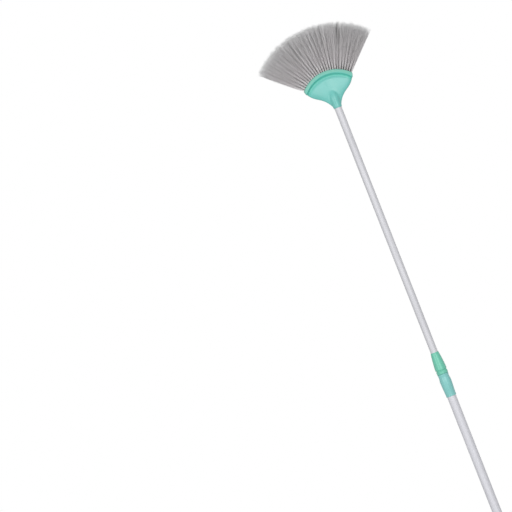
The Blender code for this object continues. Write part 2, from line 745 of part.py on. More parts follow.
def fold_share(angle):
    """Triangle wave: 1 at angle 0, 0 at a quarter turn, -1 at a half turn."""
    return 1.0 - 2 * math.acos(math.cos(angle)) / math.pi


def tuft_mesh():
    """Round root plug whose top facets each grow a three-sided strand that leans out and tapers."""
    mesh = bpy.data.meshes.new("tuft")
    bm = bmesh.new()
    depth = HOLE_DEPTH - SEAT_GAP
    bmesh.ops.create_cone(
        bm,
        cap_ends=True,
        cap_tris=True,
        segments=STRANDS_IN_TUFT,
        radius1=TUFT_RADIUS,
        radius2=TUFT_RADIUS,
        depth=depth,
        matrix=Matrix.Translation((0.0, 0.0, -depth / 2)),
    )
    bm.normal_update()
    roots = [face for face in bm.faces if face.normal.z > 0.5]
    bmesh.ops.inset_individual(bm, faces=roots, thickness=STRAND_INSET)
    strands = bmesh.ops.extrude_discrete_faces(bm, faces=roots)["faces"]
    length = FAN_RADIUS - BLOCK_RADIUS
    for face in strands:
        middle = face.calc_center_median()
        angle = math.atan2(middle.y, middle.x)
        across = fold_share(angle) * TIP_SPREAD_X / 2
        deep = fold_share(angle - math.pi / 2) * TIP_SPREAD_Y / 2
        trim = TRIM_STEP * (1.0 + math.cos(6 * angle))
        tip = Vector((across, deep, length - trim))
        for corner in face.verts:
            corner.co = tip + (corner.co - middle) * STRAND_TIP_SHARE
    bm.to_mesh(mesh)
    bm.free()
    return mesh


def make_tufts(bristle, parts, carrier):
    mesh = tuft_mesh()
    for name, angle, side in tuft_places():
        tuft = add_object(name, mesh, bristle, parts)
        tuft.parent = carrier
        placing = Matrix.Translation((0.0, 0.0, ARC_CENTRE_HEIGHT)) @ tuft_matrix(angle, side)
        tuft.location = placing.to_translation()
        tuft.rotation_euler = placing.to_euler()


def main():
    clear_scene()
    parts = new_collection("cobweb_brush")
    cutters = new_collection("cutters")
    outer_metal = new_material("outer_tube_aluminium", (0.62, 0.61, 0.66), 0.4, 0.6)
    inner_metal = new_material("inner_tube_aluminium", (0.66, 0.65, 0.70), 0.36, 0.6)
    cap_plastic = new_material("end_cap_plastic", (0.16, 0.60, 0.47), 0.4, 0.0)
    sleeve_plastic = new_material("lock_sleeve_plastic", (0.22, 0.64, 0.58), 0.4, 0.0)
    nut_plastic = new_material("lock_nut_plastic", (0.16, 0.60, 0.47), 0.4, 0.0)
    collet_plastic = new_material("split_collet_plastic", (0.75, 0.75, 0.72), 0.45, 0.0)
    plug_plastic = new_material("guide_plug_plastic", (0.05, 0.05, 0.05), 0.5, 0.0)
    tip_plastic = new_material("pole_tip_plastic", (0.72, 0.72, 0.70), 0.45, 0.0)
    rivet_steel = new_material("tip_rivet_steel", (0.55, 0.55, 0.56), 0.3, 1.0)
    block_plastic = new_material("fan_block_plastic", (0.18, 0.62, 0.52), 0.42, 0.0)
    bristle = new_material("tuft_bristle", (0.35, 0.34, 0.345), 0.6, 0.0)

    make_outer_tube(outer_metal, parts)
    make_end_cap(cap_plastic, parts, cutters)
    make_lock_sleeve(sleeve_plastic, parts)
    make_split_collet(collet_plastic, parts, cutters)

    nut_pivot = pivot("nut_pivot", NUT_BOTTOM, None, parts)
    nut = make_lock_nut(nut_plastic, parts)
    nut.parent = nut_pivot
    nut.location.z = -NUT_BOTTOM

    inner_slide = pivot("inner_slide", INNER_BOTTOM, None, parts)
    make_inner_tube(inner_metal, parts, cutters, inner_slide)
    make_guide_plug(plug_plastic, parts, inner_slide)
    make_pole_tip(tip_plastic, parts, cutters, inner_slide)
    make_tip_rivet(rivet_steel, parts, inner_slide)

    head_pivot = pivot("head_pivot", MOUTH, inner_slide, parts)
    make_fan_block(block_plastic, parts, cutters, head_pivot)
    make_tufts(bristle, parts, head_pivot)


main()
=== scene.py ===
import math

import bmesh
import bpy
import numpy as np
from mathutils import Matrix, Vector


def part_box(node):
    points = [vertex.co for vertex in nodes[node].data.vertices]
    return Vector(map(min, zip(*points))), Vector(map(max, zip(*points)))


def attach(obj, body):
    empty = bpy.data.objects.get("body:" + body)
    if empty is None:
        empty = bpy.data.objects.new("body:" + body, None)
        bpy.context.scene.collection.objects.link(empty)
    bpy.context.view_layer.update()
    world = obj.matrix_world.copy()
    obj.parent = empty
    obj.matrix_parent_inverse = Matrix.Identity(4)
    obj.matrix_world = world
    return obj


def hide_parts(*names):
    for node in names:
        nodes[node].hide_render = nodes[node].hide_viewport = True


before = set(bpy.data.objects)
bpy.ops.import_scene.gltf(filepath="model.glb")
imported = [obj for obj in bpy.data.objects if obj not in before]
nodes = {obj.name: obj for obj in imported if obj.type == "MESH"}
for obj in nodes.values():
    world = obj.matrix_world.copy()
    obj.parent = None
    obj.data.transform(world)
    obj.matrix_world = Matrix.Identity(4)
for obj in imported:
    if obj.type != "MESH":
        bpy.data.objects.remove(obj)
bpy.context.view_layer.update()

# Camera: it looks square at the fan's front from far off, and is rolled by the pole's lean. So
# the brush stands upright on its cap and still slants through the frame from the top left.
MM = 0.001
POLE_LEAN = math.radians(21.49)
CAMERA_DISTANCE = 6.0
FRAME_HALF_WIDTH = 609.3 * MM
VIEW_LEFT_OF_POLE = 310.9 * MM
VIEW_BELOW_MOUTH = 256.8 * MM
SENSOR_WIDTH = 36.0
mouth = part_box("fan_block")[0].z

lens = bpy.data.cameras.new("square_lens")
lens.sensor_width = SENSOR_WIDTH
lens.lens = SENSOR_WIDTH / 2 / FRAME_HALF_WIDTH * CAMERA_DISTANCE
lens.clip_end = 10 * CAMERA_DISTANCE
camera = bpy.data.objects.new("square_camera", lens)
bpy.context.scene.collection.objects.link(camera)
across = Vector((math.cos(POLE_LEAN), 0.0, -math.sin(POLE_LEAN)))
upwards = Vector((math.sin(POLE_LEAN), 0.0, math.cos(POLE_LEAN)))
turn = Matrix((across, upwards, across.cross(upwards))).transposed().to_4x4()
viewpoint = (-VIEW_LEFT_OF_POLE, -CAMERA_DISTANCE, mouth - VIEW_BELOW_MOUTH)
camera.matrix_world = Matrix.Translation(viewpoint) @ turn
bpy.context.scene.camera = camera
bpy.context.scene.view_settings.view_transform = "Standard"

# Studio: a pale round floor that fades out at its edge, a white surround that the camera and
# the gloss see, and three large soft lamps in front of and above the brush.
ROUND_STEPS = 96
FLOOR_RADIUS = 1.6
FLOOR_FADE_START = 0.7
FLOOR_FADE_END = 1.55


def plain_finish(name, colour, roughness, metallic=0.0):
    """Material of one colour, for a finish's own nodes to build on."""
    material = bpy.data.materials.new(name)
    material.use_nodes = True
    shader = material.node_tree.nodes["Principled BSDF"]
    shader.inputs["Base Color"].default_value = (*colour, 1.0)
    shader.inputs["Roughness"].default_value = roughness
    shader.inputs["Metallic"].default_value = metallic
    return material


def worked_out(tree, operation, *sources):
    """Number worked out from one or two others."""
    step = tree.nodes.new("ShaderNodeMath")
    step.operation = operation
    for source, socket in zip(sources, step.inputs):
        tree.links.new(source, socket)
    return step.outputs["Value"]


bm = bmesh.new()
bmesh.ops.create_circle(bm, cap_ends=True, segments=ROUND_STEPS, radius=FLOOR_RADIUS)
floor_mesh = bpy.data.meshes.new("studio_floor")
bm.to_mesh(floor_mesh)
bm.free()
floor = bpy.data.objects.new("studio_floor", floor_mesh)
bpy.context.scene.collection.objects.link(floor)

floor_paint = plain_finish("pale_floor_paint", (0.90, 0.90, 0.90), roughness=0.85)
tree = floor_paint.node_tree
spot = tree.nodes.new("ShaderNodeTexCoord")
reach = tree.nodes.new("ShaderNodeVectorMath")
reach.operation = "LENGTH"
fade = tree.nodes.new("ShaderNodeMapRange")
fade.interpolation_type = "SMOOTHSTEP"
fade.inputs["From Min"].default_value = FLOOR_FADE_START
fade.inputs["From Max"].default_value = FLOOR_FADE_END
clear = tree.nodes.new("ShaderNodeBsdfTransparent")
blend = tree.nodes.new("ShaderNodeMixShader")
tree.links.new(spot.outputs["Object"], reach.inputs[0])
tree.links.new(reach.outputs["Value"], fade.inputs["Value"])
tree.links.new(fade.outputs["Result"], blend.inputs["Fac"])
tree.links.new(tree.nodes["Principled BSDF"].outputs["BSDF"], blend.inputs[1])
tree.links.new(clear.outputs["BSDF"], blend.inputs[2])
tree.links.new(blend.outputs["Shader"], tree.nodes["Material Output"].inputs["Surface"])
floor_mesh.materials.append(floor_paint)

surround = bpy.data.worlds.new("studio_surround")
surround.use_nodes = True
bpy.context.scene.world = surround
tree = surround.node_tree
soft_light = tree.nodes["Background"]
soft_light.inputs["Color"].default_value = (0.98, 0.99, 1.0, 1.0)
soft_light.inputs["Strength"].default_value = 0.25
white = tree.nodes.new("ShaderNodeBackground")
white.inputs["Color"].default_value = (1.0, 1.0, 1.0, 1.0)
white.inputs["Strength"].default_value = 1.0
rays = tree.nodes.new("ShaderNodeLightPath")
seen = worked_out(tree, "MAXIMUM", rays.outputs["Is Camera Ray"], rays.outputs["Is Glossy Ray"])
seen_or_clear = worked_out(tree, "MAXIMUM", seen, rays.outputs["Is Transmission Ray"])
pick = tree.nodes.new("ShaderNodeMixShader")
tree.links.new(seen_or_clear, pick.inputs["Fac"])
tree.links.new(soft_light.outputs["Background"], pick.inputs[1])
tree.links.new(white.outputs["Background"], pick.inputs[2])
tree.links.new(pick.outputs["Shader"], tree.nodes["World Output"].inputs["Surface"])

for name, place, aim, side, power in (
    ("front_lamp", (0.8, -4.95, 1.7), (0.0, 0.0, 1.1), 2.4, 110.0),
    ("left_lamp", (-3.0, -3.7, 1.5), (0.0, 0.0, 1.1), 1.6, 60.0),
    ("top_lamp", (1.4, -0.2, 3.7), (0.0, 0.0, 1.2), 1.8, 16.0),
):
    lamp = bpy.data.lights.new(name, "AREA")
    lamp.shape = "SQUARE"
    lamp.size = side
    lamp.energy = power
    holder = bpy.data.objects.new(name, lamp)
    bpy.context.scene.collection.objects.link(holder)
    holder.location = place
    holder.rotation_euler = (Vector(aim) - Vector(place)).to_track_quat("-Z", "Y").to_euler()

# Outer tube: the thicker lower tube of the pole, a thin drawn aluminium tube with a satin
# finish and both ends cut square and eased. The cap plugs its foot and the sleeve grips its top.
SAME_POINT = 0.001 * MM
TUBE_WALL = 0.8 * MM
TUBE_EASE = 0.2 * MM
LINE_DEPTH = 0.02 * MM


def spun(profile):
    """Skin from a closed loop of (radius, height) points, spun right round the pole's axis."""
    bm = bmesh.new()
    points = [bm.verts.new((radius, 0.0, height)) for radius, height in profile]
    edges = [bm.edges.new(pair) for pair in zip(points, points[1:] + points[:1])]
    bmesh.ops.spin(
        bm,
        geom=points + edges,
        cent=(0.0, 0.0, 0.0),
        axis=(0.0, 0.0, 1.0),
        dvec=(0.0, 0.0, 0.0),
        angle=2 * math.pi,
        steps=ROUND_STEPS,
        use_merge=True,
        use_duplicate=False,
    )
    bmesh.ops.remove_doubles(bm, verts=bm.verts, dist=SAME_POINT)
    bmesh.ops.dissolve_degenerate(bm, edges=bm.edges, dist=SAME_POINT)
    bare = [edge for edge in bm.edges if not edge.link_faces]
    bmesh.ops.delete(bm, geom=bare, context="EDGES")
    bmesh.ops.recalc_face_normals(bm, faces=bm.faces)
    return bm


def eased_edges(bm, width, least_angle=35.0, segments=3):
    """Rounds the edges that turn by more than an angle, as handling and moulding leave them."""
    sharp = [edge for edge in bm.edges if edge.calc_face_angle(0.0) > math.radians(least_angle)]
    bmesh.ops.bevel(
        bm,
        geom=sharp,
        offset=width,
        offset_type="OFFSET",
        segments=segments,
        profile=0.5,
        affect="EDGES",
        clamp_overlap=True,
        material=-1,
    )


def piece_from(name, bm, material=None):
    """Object of its own from a bmesh, which is used up. A shape to cut with has no material."""
    mesh = bpy.data.meshes.new(name)
    bm.to_mesh(mesh)
    bm.free()
    mesh.shade_smooth()
    mesh.materials.append(material)
    piece = bpy.data.objects.new(name, mesh)
    bpy.context.scene.collection.objects.link(piece)
    return piece


def even_shading(piece):
    """Lets the large faces lead the shading, so narrow rounded edges don't darken them."""
    weighted = piece.modifiers.new("Even shading", "WEIGHTED_NORMAL")
    weighted.keep_sharp = True


def grain(tree, scale, stretch=(1.0, 1.0, 1.0), detail=3.0):
    """Noise on the piece's own coordinates; a small stretch number draws it out along that axis."""
    spot = tree.nodes.new("ShaderNodeTexCoord")
    drawn_out = tree.nodes.new("ShaderNodeMapping")
    drawn_out.inputs["Scale"].default_value = stretch
    noise = tree.nodes.new("ShaderNodeTexNoise")
    noise.inputs["Scale"].default_value = scale
    noise.inputs["Detail"].default_value = detail
    tree.links.new(spot.outputs["Object"], drawn_out.inputs["Vector"])
    tree.links.new(drawn_out.outputs["Vector"], noise.inputs["Vector"])
    return noise.outputs["Fac"]


def shades(tree, share, *stops):
    """Colours along a share from 0 to 1, each stop a place and a colour."""
    ramp = tree.nodes.new("ShaderNodeValToRGB")
    elements = ramp.color_ramp.elements
    elements[0].position, elements[1].position = stops[0][0], stops[-1][0]
    elements[0].color, elements[1].color = (*stops[0][1], 1.0), (*stops[-1][1], 1.0)
    for place, colour in stops[1:-1]:
        elements.new(place).color = (*colour, 1.0)
    tree.links.new(share, ramp.inputs["Fac"])
    return ramp.outputs["Color"]


def between(tree, share, low, high, start=0.3, end=0.7):
    """Number that runs from low to high while a share runs from start to end."""
    span = tree.nodes.new("ShaderNodeMapRange")
    span.inputs["From Min"].default_value = start
    span.inputs["From Max"].default_value = end
    span.inputs["To Min"].default_value = low
    span.inputs["To Max"].default_value = high
    tree.links.new(share, span.inputs["Value"])
    return span.outputs["Result"]


def relief(tree, *layers):
    """Bump from layers of (height, strength, depth), one on top of another."""
    normal = None
    for height, strength, depth in layers:
        bump = tree.nodes.new("ShaderNodeBump")
        bump.inputs["Strength"].default_value = strength
        bump.inputs["Distance"].default_value = depth
        tree.links.new(height, bump.inputs["Height"])
        if normal is not None:
            tree.links.new(normal, bump.inputs["Normal"])
        normal = bump.outputs["Normal"]
    tree.links.new(normal, tree.nodes["Principled BSDF"].inputs["Normal"])


def drawn_aluminium(name, dark, light, rub):
    """Satin aluminium: fine lines along the tube, soft handling smudges and sparse sliding rubs."""
    material = plain_finish(name, light, roughness=0.65, metallic=0.3)
    tree = material.node_tree
    shader = tree.nodes["Principled BSDF"]
    shader.inputs["Specular IOR Level"].default_value = 0.3
    lines = grain(tree, scale=900.0, stretch=(1.0, 1.0, 0.012), detail=4.0)
    smudges = grain(tree, scale=26.0, stretch=(1.0, 1.0, 0.35))
    rubs = grain(tree, scale=420.0, stretch=(1.0, 1.0, 0.03), detail=1.0)
    tree.links.new(shades(tree, lines, (0.3, dark), (0.7, light)), shader.inputs["Base Color"])
    smudged = between(tree, smudges, low=0.58, high=0.70)
    rubbed = between(tree, rubs, low=0.0, high=rub, start=0.62, end=0.72)
    tree.links.new(worked_out(tree, "ADD", smudged, rubbed), shader.inputs["Roughness"])
    relief(tree, (lines, 0.25, LINE_DEPTH), (rubs, 0.1, LINE_DEPTH))
    return material


def drawn_tube(name, node, metal):
    """Thin round tube in the place of a CAD node, with both ends eased."""
    low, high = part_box(node)
    bore = high.x - TUBE_WALL
    bm = spun([(high.x, low.z), (high.x, high.z), (bore, high.z), (bore, low.z)])
    eased_edges(bm, TUBE_EASE)
    return piece_from(name, bm, metal)


outer_metal = drawn_aluminium("outer_tube_satin", (0.65, 0.65, 0.69), (0.72, 0.72, 0.76), rub=0.10)
outer_tube = drawn_tube("drawn_outer_tube", "outer_tube", outer_metal)
even_shading(outer_tube)
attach(outer_tube, "pole")
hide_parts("outer_tube")

# End cap: a mint plastic plug pressed in the foot of the outer tube. Its flange covers the
# tube's edge, and below that it narrows to a flattened tab with the eye it hangs by.
MINT = ((0.165, 0.60, 0.445), (0.19, 0.66, 0.485))
SEAT_GAP = 0.3 * MM
CAP_EDGE = 1.5 * MM
CAP_TOP = 36.0 * MM
CAP_TIP_RADIUS = 9.0 * MM
CAP_BORE = 6.5 * MM
EYE_HEIGHT = 11.0 * MM
EYE_RADIUS = 4.5 * MM
TAB_TOP = 23.0 * MM
TAB_HALF_THICKNESS = 5.5 * MM
CAP_GRID = 0.45 * MM
CORNER_PASSES = 4
CUTTER_REACH = 30.0 * MM
SEAM_HALF_WIDTH = 0.22 * MM
SEAM_CREST = 0.05 * MM
SEAM_HEIGHT = 0.06 * MM
PLASTIC_GRAIN_DEPTH = 0.03 * MM


def soft_curve(start, end, count):
    """(radius, height) points from one to another along a soft S, the first left out."""
    shares = [index / count for index in range(1, count + 1)]
    rise = [(1.0 - math.cos(math.pi * share)) / 2 for share in shares]
    return [
        (start[0] + (end[0] - start[0]) * lift, start[1] + (end[1] - start[1]) * share)
        for lift, share in zip(rise, shares)
    ]


def block_shape(name, corner, opposite):
    """Plain box between two corners, to cut with."""
    bm = bmesh.new()
    size = Vector(opposite) - Vector(corner)
    middle = (Vector(opposite) + Vector(corner)) / 2
    bmesh.ops.create_cube(bm, size=1.0, matrix=Matrix.Translation(middle) @ Matrix.Diagonal((*size, 1.0)))
    return piece_from(name, bm)


def rod_shape(name, radius, length, matrix, steps=64):
    """Plain rod about its own Z, centred, moved by a matrix, to cut with."""
    bm = bmesh.new()
    bmesh.ops.create_cone(
        bm, cap_ends=True, segments=steps, radius1=radius, radius2=radius, depth=length, matrix=matrix
    )
    return piece_from(name, bm)


def lying_at(height):
    """Turn that lays a rod from front to back across the pole's axis at a height."""
    return Matrix.Translation((0.0, 0.0, height)) @ Matrix.Rotation(math.pi / 2, 4, "X")


def carve(piece, shape):
    """Cuts a shape out of a piece."""
    boolean = piece.modifiers.new(shape.name, "BOOLEAN")
    boolean.operation = "DIFFERENCE"
    boolean.solver = "EXACT"
    boolean.object = shape


def settle(piece, shapes):
    """Makes what the modifiers give the piece's own mesh, and drops the shapes that cut it."""
    graph = bpy.context.evaluated_depsgraph_get()
    skin = bpy.data.meshes.new_from_object(piece.evaluated_get(graph))
    piece.modifiers.clear()
    piece.data = skin
    for shape in shapes:
        bpy.data.objects.remove(shape, do_unlink=True)


def melt(piece, grid, shapes):
    """Runs the carving and melts the result into one even skin with soft corners."""
    even = piece.modifiers.new("Even skin", "REMESH")
    even.mode = "VOXEL"
    even.voxel_size = grid
    even.use_smooth_shade = True
    soft = piece.modifiers.new("Soft corners", "SMOOTH")
    soft.factor = 0.5
    soft.iterations = CORNER_PASSES
    settle(piece, shapes)


def moulded_plastic(name, dark, light, rough=(0.30, 0.42), seam_axis=None):
    """Glossy moulded plastic: faint flow clouds, a fine eroded grain, scuffs and a parting line."""
    material = plain_finish(name, light, roughness=0.4)
    tree = material.node_tree
    shader = tree.nodes["Principled BSDF"]
    clouds = grain(tree, scale=38.0, stretch=(1.0, 1.0, 0.5), detail=4.0)
    erosion = grain(tree, scale=2100.0, detail=2.0)
    scuffs = grain(tree, scale=160.0, stretch=(1.0, 1.0, 0.12), detail=5.0)
    tree.links.new(shades(tree, clouds, (0.25, dark), (0.75, light)), shader.inputs["Base Color"])
    clouded = between(tree, clouds, low=rough[0], high=rough[1])
    scuffed = between(tree, scuffs, low=0.0, high=0.14, start=0.60, end=0.70)
    tree.links.new(worked_out(tree, "ADD", clouded, scuffed), shader.inputs["Roughness"])
    layers = [(erosion, 0.10, PLASTIC_GRAIN_DEPTH), (scuffs, 0.04, PLASTIC_GRAIN_DEPTH)]
    if seam_axis is not None:
        spot = tree.nodes.new("ShaderNodeTexCoord")
        parts = tree.nodes.new("ShaderNodeSeparateXYZ")
        tree.links.new(spot.outputs["Object"], parts.inputs["Vector"])
        off_seam = worked_out(tree, "ABSOLUTE", parts.outputs[seam_axis])
        ridge = between(tree, off_seam, low=1.0, high=0.0, start=SEAM_CREST, end=SEAM_HALF_WIDTH)
        layers.append((ridge, 0.5, SEAM_HEIGHT))
    relief(tree, *layers)
    return material


low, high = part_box("end_cap")
plug_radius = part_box("outer_tube")[1].x - TUBE_WALL - SEAT_GAP
rim_radius = high.x
profile = [(0.0, -CAP_EDGE), (CAP_TIP_RADIUS - CAP_EDGE, -CAP_EDGE), (CAP_TIP_RADIUS - CAP_EDGE, 0.0)]
profile += [(CAP_TIP_RADIUS, CAP_EDGE), (CAP_TIP_RADIUS, EYE_HEIGHT)]
profile += soft_curve(profile[-1], (rim_radius, CAP_TOP - 2 * CAP_EDGE), 16)
profile += [(rim_radius, CAP_TOP - CAP_EDGE / 2), (rim_radius - CAP_EDGE / 2, CAP_TOP)]
profile += [(plug_radius, CAP_TOP), (plug_radius, high.z - CAP_EDGE), (plug_radius - CAP_EDGE, high.z)]
profile += [(CAP_BORE, high.z), (CAP_BORE, TAB_TOP + CAP_EDGE), (0.0, TAB_TOP + CAP_EDGE)]
cap_plastic = moulded_plastic("end_cap_mint", *MINT, seam_axis="Y")
end_cap = piece_from("hanging_cap", spun(profile), cap_plastic)
near, far = -CUTTER_REACH, CUTTER_REACH
cap_cutters = [
    block_shape("cap_front_flat", (near, near, near), (far, -TAB_HALF_THICKNESS, TAB_TOP)),
    block_shape("cap_back_flat", (near, TAB_HALF_THICKNESS, near), (far, far, TAB_TOP)),
    block_shape("cap_foot_flat", (near, near, near), (far, far, 0.0)),
    rod_shape("cap_eye", EYE_RADIUS, CUTTER_REACH, lying_at(EYE_HEIGHT)),
]
for shape in cap_cutters:
    carve(end_cap, shape)
melt(end_cap, CAP_GRID, cap_cutters)
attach(end_cap, "pole")
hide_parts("end_cap")

# Lock sleeve: the fixed lower half of the twist lock, a bulged grip in a bluer plastic glued
# over the outer tube's end. A stub above it, inside the nut, carries the thread and the collet.
SLEEVE_HEIGHT = 56.0 * MM
SLEEVE_EDGE = 0.3 * MM
SLEEVE_TOP_RADIUS = 13.4 * MM
SLEEVE_BORE = 11.3 * MM
BEAD_RADIUS = 12.7 * MM
BEAD_HEIGHT = 2.4 * MM
BEAD_EDGE = 0.4 * MM
BELLY_RADIUS = 14.0 * MM
BELLY_SHARE = 0.68
WAIST_RADIUS = 12.7 * MM
WAIST_SHARE = 0.86
STUB_RADIUS = 11.4 * MM
STUB_EDGE = 0.4 * MM
TUBE_PASSAGE = 9.3 * MM
SLEEVE_EASE = 0.25 * MM
sleeve_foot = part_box("lock_sleeve")[0].z
sleeve_top = sleeve_foot + SLEEVE_HEIGHT
stub_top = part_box("lock_sleeve")[1].z
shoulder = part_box("outer_tube")[1].z + SEAT_GAP
profile = [(TUBE_PASSAGE, stub_top), (TUBE_PASSAGE, shoulder)]
profile += [(SLEEVE_BORE, shoulder), (SLEEVE_BORE, sleeve_foot)]
profile += [(BEAD_RADIUS - SLEEVE_EDGE, sleeve_foot), (BEAD_RADIUS, sleeve_foot + BEAD_EDGE)]
profile += [(BEAD_RADIUS, sleeve_foot + BEAD_HEIGHT - BEAD_EDGE)]
profile += [(BEAD_RADIUS - SLEEVE_EDGE, sleeve_foot + BEAD_HEIGHT)]
profile += soft_curve(profile[-1], (BELLY_RADIUS, sleeve_foot + BELLY_SHARE * SLEEVE_HEIGHT), 18)
profile += soft_curve(profile[-1], (WAIST_RADIUS, sleeve_foot + WAIST_SHARE * SLEEVE_HEIGHT), 10)
profile += soft_curve(profile[-1], (SLEEVE_TOP_RADIUS, sleeve_top - SLEEVE_EDGE), 8)
profile += [(SLEEVE_TOP_RADIUS - SLEEVE_EDGE, sleeve_top), (STUB_RADIUS, sleeve_top)]
profile += [(STUB_RADIUS, stub_top - STUB_EDGE), (STUB_RADIUS - STUB_EDGE, stub_top)]
sleeve_plastic = moulded_plastic("lock_sleeve_teal", (0.245, 0.63, 0.60), (0.285, 0.68, 0.65), seam_axis="X")
bm = spun(profile)
eased_edges(bm, SLEEVE_EASE)
lock_sleeve = piece_from("grip_sleeve", bm, sleeve_plastic)
even_shading(lock_sleeve)
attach(lock_sleeve, "pole")
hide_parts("lock_sleeve")

# Split collet: a slotted ring of slippery white plastic on the stub, hidden in the nut, which
# squeezes its tapered fingers on the inner tube. Its shape is right as it is.
collet_plastic = moulded_plastic("split_collet_white", (0.70, 0.70, 0.67), (0.78, 0.78, 0.75), (0.34, 0.46))
nodes["split_collet"].data.materials[0] = collet_plastic

# Lock nut: the turning upper half of the twist lock in mint plastic. It is a slim cone with
# a lip at its widest, a groove below that and a plain ring that meets the sleeve.
RING_HEIGHT = 7.5 * MM
RING_RADIUS = 13.8 * MM
GROOVE_HEIGHT = 2.6 * MM
GROOVE_RADIUS = 12.6 * MM
LIP_HEIGHT = 3.0 * MM
LIP_RADIUS = 14.2 * MM
CONE_TOP_RADIUS = 10.0 * MM
CONE_SWELL = 0.5 * MM
CONE_STEPS = 16
NUT_EDGE = 0.7 * MM
NUT_TOP_EDGE = 0.8 * MM
NUT_TOP_RADIUS = 9.65 * MM
THREAD_RADIUS = 11.7 * MM
CLAMP_FOOT = (11.3 * MM, 3.8 * MM)
CLAMP_TOP = (10.2 * MM, 15.8 * MM)
COLLET_ROOM = 16.1 * MM
NUT_EASE = 0.3 * MM
nut_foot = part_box("lock_nut")[0].z
nut_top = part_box("lock_nut")[1].z
ring_top = nut_foot + RING_HEIGHT
lip_foot = ring_top + GROOVE_HEIGHT
lip_top = lip_foot + LIP_HEIGHT
profile = [(TUBE_PASSAGE, nut_top), (TUBE_PASSAGE, stub_top + COLLET_ROOM)]
profile += [(CLAMP_TOP[0], stub_top + COLLET_ROOM), (CLAMP_TOP[0], stub_top + CLAMP_TOP[1])]
profile += [(CLAMP_FOOT[0], stub_top + CLAMP_FOOT[1]), (THREAD_RADIUS, stub_top), (THREAD_RADIUS, nut_foot)]
profile += [(RING_RADIUS - NUT_EDGE, nut_foot), (RING_RADIUS, nut_foot + NUT_EDGE)]
profile += [(RING_RADIUS, ring_top - NUT_EDGE), (RING_RADIUS - NUT_EDGE, ring_top)]
profile += [(GROOVE_RADIUS, ring_top + NUT_EDGE), (GROOVE_RADIUS, lip_foot - NUT_EDGE)]
profile += [(LIP_RADIUS - NUT_EDGE, lip_foot), (LIP_RADIUS, lip_foot + NUT_EDGE)]
for index in range(CONE_STEPS + 1):
    along = index / CONE_STEPS
    swell = CONE_SWELL * math.sin(math.pi * along)
    height = lip_top + (nut_top - NUT_TOP_EDGE - lip_top) * along
    profile.append((LIP_RADIUS + (CONE_TOP_RADIUS - LIP_RADIUS) * along + swell, height))
profile += [(NUT_TOP_RADIUS, nut_top)]
nut_plastic = moulded_plastic("lock_nut_mint", *MINT, seam_axis="X")
bm = spun(profile)
eased_edges(bm, NUT_EASE)
lock_nut = piece_from("clamping_nut", bm, nut_plastic)
even_shading(lock_nut)
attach(lock_nut, "nut")
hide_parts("lock_nut")

# Inner tube: the thinner upper tube, of the same drawn aluminium, which slides in the outer
# one. It is rubbed a little lengthwise, and a steel pin crosses it in the head's socket.
PIN_HOLE_RADIUS = 1.9 * MM
inner_metal = drawn_aluminium("inner_tube_satin", (0.62, 0.62, 0.65), (0.69, 0.69, 0.72), rub=0.16)
inner_tube = drawn_tube("drawn_inner_tube", "inner_tube", inner_metal)
pin_height = (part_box("tip_rivet")[0].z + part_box("tip_rivet")[1].z) / 2
pin_hole = rod_shape("pin_hole", PIN_HOLE_RADIUS, CUTTER_REACH, lying_at(pin_height), steps=24)
carve(inner_tube, pin_hole)
settle(inner_tube, [pin_hole])
even_shading(inner_tube)
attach(inner_tube, "extension")
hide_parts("inner_tube")

# Guide plug, screw tip and pin: the flanged black plug in the inner tube's foot, the white screw
# tip in its top, and the steel pin through tube and tip. All are hidden and right as they are.
plug_plastic = moulded_plastic("guide_plug_black", (0.035, 0.035, 0.037), (0.05, 0.05, 0.052), (0.40, 0.52))
nodes["guide_plug"].data.materials[0] = plug_plastic
tip_plastic = moulded_plastic("pole_tip_white", (0.66, 0.66, 0.64), (0.74, 0.74, 0.72), (0.34, 0.46))
nodes["pole_tip"].data.materials[0] = tip_plastic
pin_steel = plain_finish("tip_rivet_steel", (0.55, 0.55, 0.56), roughness=0.3, metallic=1.0)
tree = pin_steel.node_tree
shader = tree.nodes["Principled BSDF"]
lines = grain(tree, scale=1500.0, stretch=(1.0, 0.05, 1.0))
worn = shades(tree, lines, (0.3, (0.46, 0.46, 0.47)), (0.7, (0.60, 0.60, 0.61)))
tree.links.new(worn, shader.inputs["Base Color"])
tree.links.new(between(tree, lines, low=0.24, high=0.36), shader.inputs["Roughness"])
relief(tree, (lines, 0.15, LINE_DEPTH))
nodes["tip_rivet"].data.materials[0] = pin_steel

# Fan block: the head's body, one thick moulding in mint plastic. A crowned web spreads from
# the round socket, which screws on the pole, to the deep rim along an arc that holds the tufts.
BLOCK_RADIUS = 85.0 * MM
CENTRE_ABOVE_MOUTH = 7.0 * MM
RIM_DEPTH = 9.0 * MM
RIM_SKIRT = 1.6 * MM
RIM_HALF_THICKNESS = 13.0 * MM
RIM_ROUND = 2.6 * MM
RIM_TOP_ANGLE = math.radians(46.79)
RIM_FOOT_ANGLE = math.radians(50.79)
RIM_TAPER = 0.12
RIM_TAPER_HEIGHT = 5.5 * MM
WEB_HALF_WIDTH = 60.0 * MM
WEB_HALF_THICKNESS = 7.5 * MM
WEB_SQUARENESS = 4.0
WEB_TOP_ANGLE = math.radians(13.0)
NECK_HALF_WIDTH = 9.0 * MM
NECK_HALF_THICKNESS = 3.25 * MM
NECK_SQUARENESS = 2.4
NECK_START = 1.2 * MM
LOWER_PULL = (0.4, 0.65)
UPPER_PULL = (0.8, 0.49)
FLANK_STEPS = 44
CROWN_STEPS = 18
arc_centre = mouth + CENTRE_ABOVE_MOUTH
rim_foot = BLOCK_RADIUS - RIM_DEPTH - RIM_SKIRT
rim_middle = BLOCK_RADIUS - RIM_DEPTH / 2
web_end = Vector((WEB_HALF_WIDTH, arc_centre - mouth + math.sqrt(rim_middle**2 - WEB_HALF_WIDTH**2)))


